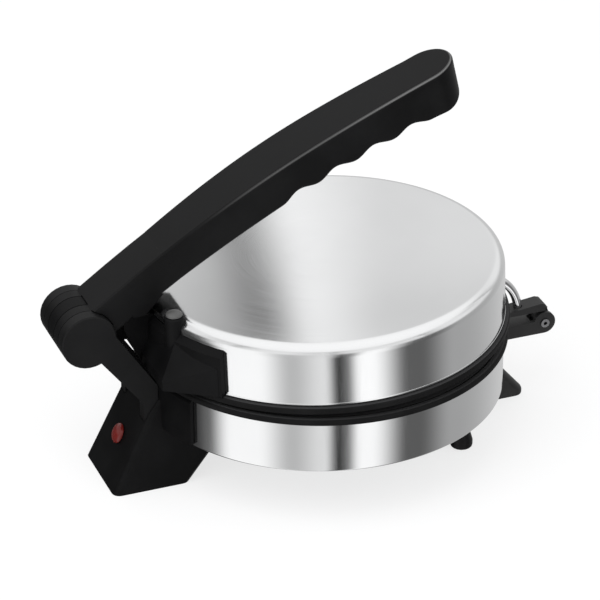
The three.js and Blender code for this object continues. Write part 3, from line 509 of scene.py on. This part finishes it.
def lid_shell():
    """A shallow crown, a rounded shoulder and a wall that ends in a small rolled bead."""
    inner, flat = BODY_R - WALL, BODY_R - SHOULDER_ACROSS
    top, bottom = SHOULDER + SHOULDER_RISE, LID_RING_TOP + SEAT_GAP
    steps = 12
    dome = [(flat * i / steps, top + CROWN * (1 - (i / steps) ** 2)) for i in range(steps)]
    under = [(radius, height - WALL) for radius, height in reversed(dome)]
    bead_across, bead_up, bead_end = 0.22, 0.7, 1.6
    profile = dome + arc((flat, SHOULDER), (SHOULDER_ACROSS, SHOULDER_RISE), 90, 0, 10)
    profile += [(BODY_R, bottom + bead_end)]
    profile += arc((BODY_R - 0.02, bottom + bead_up), (bead_across, bead_up), 85, -80, 8)
    profile += [(inner, bottom)]
    profile += arc((flat, SHOULDER), (SHOULDER_ACROSS - WALL, SHOULDER_RISE - WALL), 0, 90, 8)
    turned(profile + under, "steel_lid_shell", "lid_shell", LID_STEEL, ON_LID, SHELL_SEGMENTS)


def ring_skirt():
    """A ring's side toward its shell: the seat, the skirt inside the shell and the rim's edge.

    Heights count from the shell's rim, toward the other half.
    """
    outer = BODY_R - WALL - SEAT_GAP
    inner, depth, edge = outer - 2.9, 6.5, 1.1
    skirt = [(RING_BORE, SEAT_GAP), (inner, SEAT_GAP), (inner, -depth)]
    skirt += [(outer, -depth), (outer, SEAT_GAP)]
    return skirt + arc((RING_R - edge, SEAT_GAP + edge), edge, -90, 0, 5)


def rings():
    """The lower ring has a wide round edge and a fine groove, and the upper ring is plain."""
    bore_edge = [(RING_BORE + 0.4, RING_TOP), (RING_BORE, RING_TOP - 0.4)]
    edge, groove, groove_floor = 2.4, BODY_R - 1.8, RING_TOP - 1.1
    lower = ring_skirt() + arc((RING_R - edge, RING_TOP - edge), edge, 0, 90, 8)
    lower += [(groove + 0.5, RING_TOP), (groove + 0.25, groove_floor)]
    lower += [(groove - 0.25, groove_floor), (groove - 0.5, RING_TOP)]
    lower = [(radius, BASE_TOP + height) for radius, height in lower + bore_edge]
    turned(lower, "black_base_ring", "base_ring", RING)
    edge = 0.5
    upper = ring_skirt() + arc((RING_R - edge, RING_TOP - edge), edge, 0, 90, 4)
    upper = [(radius, LID_RING_TOP - height) for radius, height in upper + bore_edge]
    turned(upper, "black_lid_ring", "lid_ring", RING, ON_LID)


# Press handle: a bar along two bends, with finger hollows below and a round tip

BAR = {
    "Root": 66, "Length": 274.1, "Half Width": 16.9, "Depth": 22, "Fillet": 2.4,
    "Pivot Y": PIVOT_Y, "Pivot Z": PIVOT_Z, "Slope": math.radians(35.2),
    "Bend": 850, "End Start": 180, "End Bend": 1700,
    "Grip Start": 141.3, "Grip Pitch": 26.3, "Grip Count": 4, "Grip Depth": 3.4, "Grip Swell": 4.4,
    "Tip Rise": 6, "Tip Upright": math.radians(9.5),
    "Crown End": 250, "Crown Width": 2, "Crown Height": 1.8,
}


def bar_centre(graph, size, along):
    """The middle of the bar at a distance along it, and its slope there."""
    sine, cosine = lambda a: graph.math("SINE", a), lambda a: graph.math("COSINE", a)
    first = graph.math("MINIMUM", along, size["End Start"])
    second = graph.math("MAXIMUM", along - size["End Start"], 0)
    turn_a = size["Slope"] - first / size["Bend"]
    turn_b = turn_a - second / size["End Bend"]
    y = size["Pivot Y"] - size["Bend"] * (sine(size["Slope"]) - sine(turn_a))
    z = size["Pivot Z"] + size["Bend"] * (cosine(turn_a) - cosine(size["Slope"]))
    y = y - size["End Bend"] * (sine(turn_a) - sine(turn_b))
    z = z + size["End Bend"] * (cosine(turn_b) - cosine(turn_a))
    return y, z, turn_b


def bar_hollow(graph, size, along):
    """How far the underside stands above a plain bar's: finger hollows, a deeper end, a round tip."""
    grip = size["Grip Pitch"] * size["Grip Count"]
    share = graph.math("MAXIMUM", (along - size["Grip Start"]) / grip, 0)
    inside = graph.math("LESS_THAN", share, 1)
    wave = (1 - graph.math("COSINE", share * size["Grip Count"] * (2 * math.pi))) / 2 * inside
    half = size["Half Width"]
    beyond = graph.math("MAXIMUM", along - size["Length"] + half, 0) / half
    end = 1 - graph.math("SQRT", graph.math("MAXIMUM", 1 - beyond * beyond, 0))
    return size["Grip Depth"] * wave - size["Grip Swell"] * share * share + size["Tip Rise"] * end


def handle_bar():
    """A cylinder of unit size, each vertex of which is moved to its place on the bar."""
    graph, size = tree_of("handle_bar", BAR)
    around, rows = 32, 240
    straight = 0.86
    drum = graph.node("GeometryNodeMeshCylinder", {"fill_type": "NONE"},
                      {"Vertices": around, "Side Segments": rows, "Radius": 1, "Depth": 1})
    x, y, z = graph.parts(graph.node("GeometryNodeInputPosition"))
    step = z + 0.5
    quarter = graph.math("ARCTAN2", y, x) + math.pi / around
    across, up = graph.math("COSINE", quarter), graph.math("SINE", quarter)
    side, upper = graph.math("SIGN", across), graph.math("GREATER_THAN", up, 0)
    half = size["Half Width"] - size["Fillet"] * (1 - graph.math("ABSOLUTE", across))
    round_end = graph.math("MAXIMUM", (step - straight) / (1 - straight), 0) * (math.pi / 2)
    run = graph.math("MINIMUM", step / straight, 1)
    along = size["Root"] + (size["Length"] - size["Half Width"] - size["Root"]) * run
    crowned = graph.clamp((along - size["Root"]) / (size["Crown End"] - size["Root"]))
    crown = graph.math("SINE", crowned * math.pi)
    along = along + half * graph.math("SINE", round_end)
    half = half + size["Crown Width"] * crown
    edge = size["Fillet"] * (1 - graph.math("ABSOLUTE", up))
    top = size["Depth"] / 2 - edge + size["Crown Height"] * crown
    low = bar_hollow(graph, size, along) - size["Depth"] / 2 + edge
    rise = top * upper + low * (1 - upper)
    centre_y, centre_z, turn = bar_centre(graph, size, along)
    near_end = graph.math("MAXIMUM", along - size["Length"] + size["Half Width"] * 2, 0)
    turn = turn - size["Tip Upright"] * near_end / (size["Half Width"] * 2)
    spot = graph.node("ShaderNodeCombineXYZ", None, (
        side * half * graph.math("COSINE", round_end),
        centre_y + rise * graph.math("SINE", turn),
        centre_z + rise * graph.math("COSINE", turn)))
    shaped = graph.node("GeometryNodeSetPosition", None, {"Geometry": drum, "Position": spot})
    group = close_tree(graph, shaped, HANDLE)
    mesh = grown(group, BAR, "handle_bar", ON_LID)
    bar = finish_piece(mesh, "handle_bar", "press_handle", HANDLE, smooth=50)
    # The photograph's lid shows no mirror image of the bar.
    bar.visible_glossy = False


def handle_root():
    """The forked end of the handle round the hinge, up to where the bar takes over."""
    slope, bend = BAR["Slope"], BAR["Bend"]
    turn = slope - BAR["Root"] / bend
    y = PIVOT_Y - bend * (math.sin(slope) - math.sin(turn))
    z = PIVOT_Z + bend * (math.cos(turn) - math.cos(slope))
    place = ON_LID @ Vector((0, y, z))
    along = (ON_LID.to_3x3() @ Vector((0, -math.cos(turn), math.sin(turn)))).normalized()
    rounded("press_handle", "handle_root", 0.25, HANDLE, angle=50, clip=(place, along))


# Catch rod: a bent wire with a round end, whose foot stands ROD_OUT in front of the body

ROD = {"Bend": 29.2, "Radius": 2.75, "Sweep": math.radians(52)}
ROD_OUT, ROD_FOOT_Z = 20.1, 59.1


def catch_rod():
    """The bent wire and the ball at its end, made in the plane of the bend and then set upright."""
    graph, size = tree_of("catch_rod", ROD)
    bend = graph.node("GeometryNodeCurveArc", {"mode": "RADIUS"}, {
        "Resolution": 40, "Radius": size["Bend"], "Start Angle": math.pi, "Sweep Angle": -size["Sweep"]})
    wire = graph.node("GeometryNodeCurvePrimitiveCircle", {"mode": "RADIUS"},
                      {"Resolution": 24, "Radius": size["Radius"]})
    rod = graph.node("GeometryNodeCurveToMesh", None,
                     {"Curve": bend, "Profile Curve": wire, "Fill Caps": True})
    ball = graph.node("GeometryNodeMeshUVSphere", None,
                      {"Segments": 24, "Rings": 16, "Radius": size["Radius"]})
    end = math.pi - size["Sweep"]
    tip = graph.node("ShaderNodeCombineXYZ", None, (
        size["Bend"] * graph.math("COSINE", end), size["Bend"] * graph.math("SINE", end), 0))
    knob = graph.node("GeometryNodeTransform", None, {"Geometry": ball, "Translation": tip})
    whole = graph.node("GeometryNodeJoinGeometry", None, {0: [rod, knob]})
    group = close_tree(graph, whole, CHROME)
    centre = Vector((0, ROD["Bend"] - BODY_R - ROD_OUT, ROD_FOOT_Z))
    upright = Matrix(((0, 0, 1, 0), (1, 0, 0, 0), (0, 1, 0, 0), (0, 0, 0, 1)))
    mesh = grown(group, ROD, "catch_rod_wire", TO_ROW @ Matrix.Translation(centre) @ upright)
    finish_piece(mesh, "catch_rod_wire", "catch_rod", CHROME, smooth=60)


# Small round pieces

def lamp_lens():
    """The lens, square to the housing's back, which leans in from the floor up to top_z."""
    rear, top_rear, top_z, lamp_z = BODY_R + 32.6, BODY_R + 8, 50, 26.8
    slope = math.atan2(rear - top_rear, top_z)
    seat = Vector((0, rear - lamp_z * math.tan(slope), lamp_z))
    place = TO_ROW @ Matrix.Translation(seat) @ Matrix.Rotation(slope - math.pi / 2, 4, "X")
    stem, stem_depth, flange, dome = 4.3, 6, 6.2, (6.4, 3.2)
    profile = [(0, -stem_depth), (stem, -stem_depth), (stem, SEAT_GAP), (flange, SEAT_GAP)]
    profile += arc((0, 0.5), dome, 0, 90, 14)
    turned(profile, "lamp_dome", "lamp_lens", LENS, place, 48)


def boss_caps():
    """The two caps, on bosses to either side of the hinge's middle."""
    reach, turn, bottom = BODY_R - 0.45, math.radians(18.65), 120.7
    radius, dome, edge = 5, 2.2, 0.2
    profile = [(0, bottom), (radius - edge, bottom), (radius, bottom + edge)]
    profile += arc((0, bottom + 0.6), (radius, dome), 0, 90, 10)
    for side, node in ((-1, "boss_cap_near"), (1, "boss_cap_far")):
        spot = Matrix.Translation((side * reach * math.sin(turn), reach * math.cos(turn), 0))
        turned(profile, node + "_dome", node, GREY, ON_LID @ spot, 40)


# Pieces that keep their CAD form, with the width in millimetres of their rounded edges

EDGES = {
    "lid_bracket": 0.5, "hinge_arm_near": 0.8, "hinge_arm_far": 0.8,
    "rear_housing": 0.8, "catch_block": 0.7, "catch_lever": 0.7, "front_leg": 1.0,
    "foot_near": 0.6, "foot_far": 0.6, "cord_inlet": 0.5, "press_pad": 0.3,
    "terminal_block": 0.4, "lower_nut": 0.3, "upper_nut": 0.3, "bottom_cover": 0.3,
    "housing_cover": 0.4, "lower_plate": 0.4, "upper_plate": 0.4, "catch_pin": 0.2,
}
OWN_FINISH = {
    "rear_housing": HOUSING, "lid_bracket": HOUSING, "catch_block": MOULDED,
    "catch_lever": MOULDED, "front_leg": MOULDED, "catch_pin": PIN,
}


def dress_nodes():
    """Rounds those pieces, and gives every CAD node the finish of its slot."""
    for node, width in EDGES.items():
        rounded(node, node + "_form", width, OWN_FINISH.get(node))
    for node, piece in frame["nodes"].items():
        for slot in piece.material_slots:
            slot.material = BY_SLOT[SLOT_OF[node]]


# Studio

def camera():
    """The camera fitted to the photograph: its axes, and its place in drawing millimetres."""
    right = Vector((-0.35711441, -0.93404911, -0.00464239))
    up = Vector((0.4470681, -0.17528689, 0.87715712))
    back = Vector((-0.82012158, 0.31116999, 0.48018104))
    eye = Vector((-1752.63623452, 678.48454118, 1121.84271628))
    sensor, photo_width, focal_pixels = 36, 600, 3500
    data = bpy.data.cameras.new("camera")
    data.sensor_width = sensor
    data.lens = sensor * focal_pixels / photo_width
    data.clip_end = 20
    item = bpy.data.objects.new("camera", data)
    bpy.context.scene.collection.objects.link(item)
    turn = Matrix((right, up, back)).transposed().to_4x4()
    item.matrix_world = Matrix.Translation(TO_ROW @ eye) @ turn
    bpy.context.scene.camera = item


def floor():
    """A white floor with a soft shadow. The camera sees it glow, and the steel doesn't mirror it."""
    bpy.ops.mesh.primitive_plane_add(size=8, location=(0, 0, 0))
    item = bpy.context.object
    item.name = "floor"
    finish = Finish("floor", Specular_IOR_Level=0)
    graph = finish.graph
    finish.roughness(0.9)
    finish.colour(graph.mix(graph.noise(3, 2), (0.92, 0.925, 0.935), (0.95, 0.952, 0.955)))
    glow_share = 0.72
    seen = graph.node("ShaderNodeLightPath", None, (), "Is Camera Ray")
    glow = graph.node("ShaderNodeEmission", None, {"Color": (1, 1, 1, 1), "Strength": 1})
    lit = Value(graph, finish.shader.outputs[0])
    mixed = graph.node("ShaderNodeMixShader", None, (seen * glow_share, lit, glow))
    output = next(n for n in graph.tree.nodes if n.type == "OUTPUT_MATERIAL")
    graph.feed(output, "Surface", mixed)
    item.data.materials.append(finish.material)
    item.visible_glossy = False


LIT_SPOT = Vector((0, 0, 0.08))


def area_light(name, place, size, power):
    """A square light that faces the part and leaves no image of itself in the steel."""
    data = bpy.data.lights.new(name, "AREA")
    data.shape = "SQUARE"
    data.size = size
    data.energy = power
    item = bpy.data.objects.new(name, data)
    bpy.context.scene.collection.objects.link(item)
    turn = (LIT_SPOT - Vector(place)).to_track_quat("-Z", "Y").to_matrix().to_4x4()
    item.matrix_world = Matrix.Translation(place) @ turn
    item.visible_glossy = False


# What the polished steel mirrors, as pairs of an angle in degrees and a brightness.
# BANDS are the studio's walls by compass direction, counted from x toward y.
BANDS = [
    (-20, 0.6), (20, 0.1), (74, 0.05), (83, 0.14), (101, 1.1), (119, 1.1), (141, 0.55), (161, 0.85),
    (170, 0.04), (174, 0.15), (184, 1.15), (190, 1.15), (215, 0.12), (223, 0.12), (250, 0.4),
    (320, 0.6),
]
# PANELS are one soft panel above the walls. Six such panels stand round the studio.
PANELS = [(-40, 0.85), (-22, 0.78), (-18, 1.1), (-16, 0.15), (-14, 0.6), (-8, 0.8), (0, 0.9)]
PANEL_START, PANEL_WIDTH = -40, 60
# SKY is the ceiling. Its stops and the three spans below go by the sine of the elevation.
SKY = [(0.0, 0.75), (0.3, 0.8), (0.6, 1.0), (1.0, 1.1)]
WALLS_TO_PANELS = (0.1, 0.35)
PANELS_DEEPEN = (0.47, 0.62)
PANELS_TO_SKY = (0.6, 0.75)
AMBIENT = (0.85, 0.85, 0.85)
WHITE = (1, 1, 1)


def world():
    """Glossy rays meet the walls, panels and ceiling, the camera sees white, the rest plain light."""
    item = bpy.data.worlds.new("studio")
    bpy.context.scene.world = item
    item.use_nodes = True
    item.node_tree.nodes.clear()
    graph = Graph(item.node_tree)
    x, y, z = graph.parts(graph.node("ShaderNodeTexCoord", None, (), "Generated"))
    compass = graph.math("ARCTAN2", y, x) / (2 * math.pi)
    compass = graph.math("WRAP", compass, 1, 0)
    stops = sorted(((angle % 360) / 360, value) for angle, value in BANDS)
    walls = graph.ramp(compass, stops, "EASE")
    panel_end = PANEL_START + PANEL_WIDTH
    panel = graph.math("WRAP", compass, panel_end / 360, PANEL_START / 360)
    panel = panel * (360 / PANEL_WIDTH) - PANEL_START / PANEL_WIDTH
    stops = [((angle - PANEL_START) / PANEL_WIDTH, value) for angle, value in PANELS]
    panels = graph.ramp(panel, stops) ** (1 + graph.span(z, *PANELS_DEEPEN) * 0.6)
    upper = graph.mix(graph.span(z, *PANELS_TO_SKY), panels, graph.ramp(z, SKY))
    mirrored = graph.mix(graph.span(z, *WALLS_TO_PANELS), walls, upper)
    path = graph.node("ShaderNodeLightPath").link.node
    glossy, seen = [Value(graph, path.outputs[name]) for name in ("Is Glossy Ray", "Is Camera Ray")]
    lit = graph.mix(seen, graph.mix(glossy, AMBIENT, mirrored), WHITE)
    shade = graph.node("ShaderNodeBackground", None, {"Color": lit})
    graph.node("ShaderNodeOutputWorld", None, {"Surface": shade})


camera()
floor()
world()
area_light("key", (-0.5, 0.9, 1.6), size=1.6, power=18)
area_light("fill", (-1.4, -0.6, 1.0), size=1.0, power=6)
bpy.context.scene.view_settings.view_transform = "Standard"
base_shell()
lid_shell()
rings()
handle_root()
handle_bar()
catch_rod()
lamp_lens()
boss_caps()
dress_nodes()
